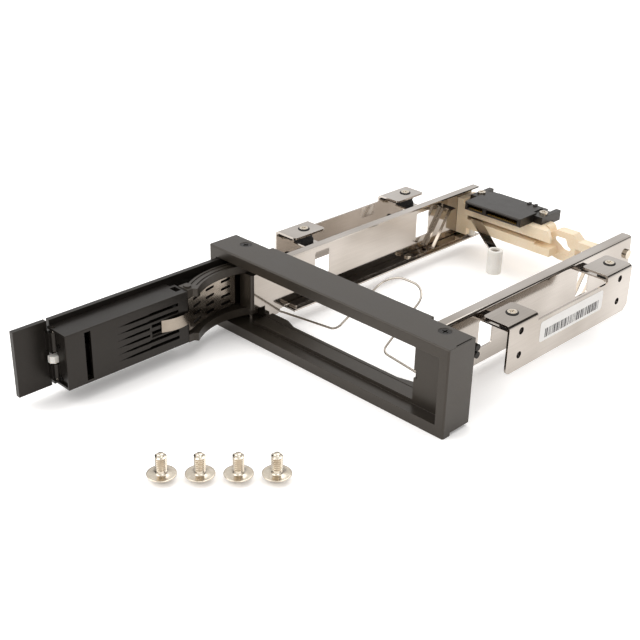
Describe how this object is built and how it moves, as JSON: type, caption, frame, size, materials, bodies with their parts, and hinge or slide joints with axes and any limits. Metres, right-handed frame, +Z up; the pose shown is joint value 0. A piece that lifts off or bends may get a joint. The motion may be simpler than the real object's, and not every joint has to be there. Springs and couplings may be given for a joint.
{
  "type": "hot swap drive cage",
  "caption": "Steel drive cage with a front bezel, a side-hinged door carrying a grille block, an ejector lever and a rear connector",
  "frame": {"origin": "bottom of the bezel's front face, on the cage's centre line", "axes": "+X to the right along the bezel, +Y into the bay towards the rear connector, +Z up as pictured"},
  "size_m": [0.148, 0.2989, 0.042],
  "materials": {
    "black_abs": "moulded, fine satin texture",
    "stainless_sheet": "cold-rolled sheet, bent and punched",
    "spring_steel": "polished spring temper",
    "ivory_acetal": "moulded, slight sheen",
    "white_nylon": "moulded, slight sheen",
    "black_rubber": "moulded",
    "nickel_screw": "nickel plated, cold headed",
    "black_screw": "black oxide",
    "black_connector": "glass-filled moulding",
    "gold_contact": "gold plated",
    "wire_steel": "bright drawn wire"
  },
  "bodies": {
    "cage": {"bezel_frame": "black_abs", "bezel_screws": "black_screw", "left_rail": "stainless_sheet", "right_rail": "stainless_sheet", "left_bracket": "stainless_sheet", "right_bracket": "stainless_sheet", "left_dampers": "black_rubber", "right_dampers": "black_rubber", "damper_screws": "nickel_screw", "rail_screws": "black_screw", "rear_crossbar": "ivory_acetal", "crossbar_screws": "nickel_screw", "connector_body": "black_connector", "connector_contacts": "gold_contact", "connector_screws": "nickel_screw", "slide_rivets": "nickel_screw", "left_side_spring": "spring_steel", "right_side_spring": "spring_steel", "wire_spring": "wire_steel", "hinge_pin": "wire_steel", "mounting_screws": "nickel_screw"},
    "door": {"door_panel": "black_abs", "block_housing": "black_abs", "upper_hinge_arm": "black_abs", "lower_hinge_arm": "black_abs", "leaf_spring": "spring_steel", "block_screws": "black_screw", "handle_pin": "wire_steel"},
    "handle": {"door_handle": "black_abs"},
    "latch": {"latch_tongue": "white_nylon"},
    "ejector": {"ejector_lever": "stainless_sheet", "ejector_crank": "white_nylon", "bumper_pin": "nickel_screw", "nylon_bumper": "white_nylon"},
    "slide": {"slide_link": "stainless_sheet"}
  },
  "joints": [
    {"name": "door_hinge", "type": "hinge", "parent": "cage", "child": "door", "pos_m": [-0.0575, 0.0115, 0.021], "axis": [0, 0, 1], "range_deg": [0, 90]},
    {"name": "handle_swing", "type": "hinge", "parent": "door", "child": "handle", "pos_m": [-0.0635, -0.0953, 0.021], "axis": [0, 0, -1], "range_deg": [0, 10]},
    {"name": "latch_slide", "type": "slide", "parent": "door", "child": "latch", "axis": [0, 1, 0], "range_m": [0, 0.003], "stiffness_N_per_m": 100},
    {"name": "ejector_swing", "type": "hinge", "parent": "cage", "child": "ejector", "pos_m": [-0.044, 0.1684, 0.021], "axis": [0, 0, 1], "range_deg": [0, 28.8]},
    {"name": "slide_travel", "type": "slide", "parent": "cage", "child": "slide", "axis": [0, -1, 0], "range_m": [0, 0.00259]}
  ],
  "couplings": [
    {"joint": "handle_swing", "follows": "latch_slide", "rad_per_m": 58.178},
    {"joint": "ejector_swing", "follows": "door_hinge", "ratio": 0.32},
    {"joint": "slide_travel", "follows": "door_hinge", "m_per_rad": 0.0016466}
  ]
}
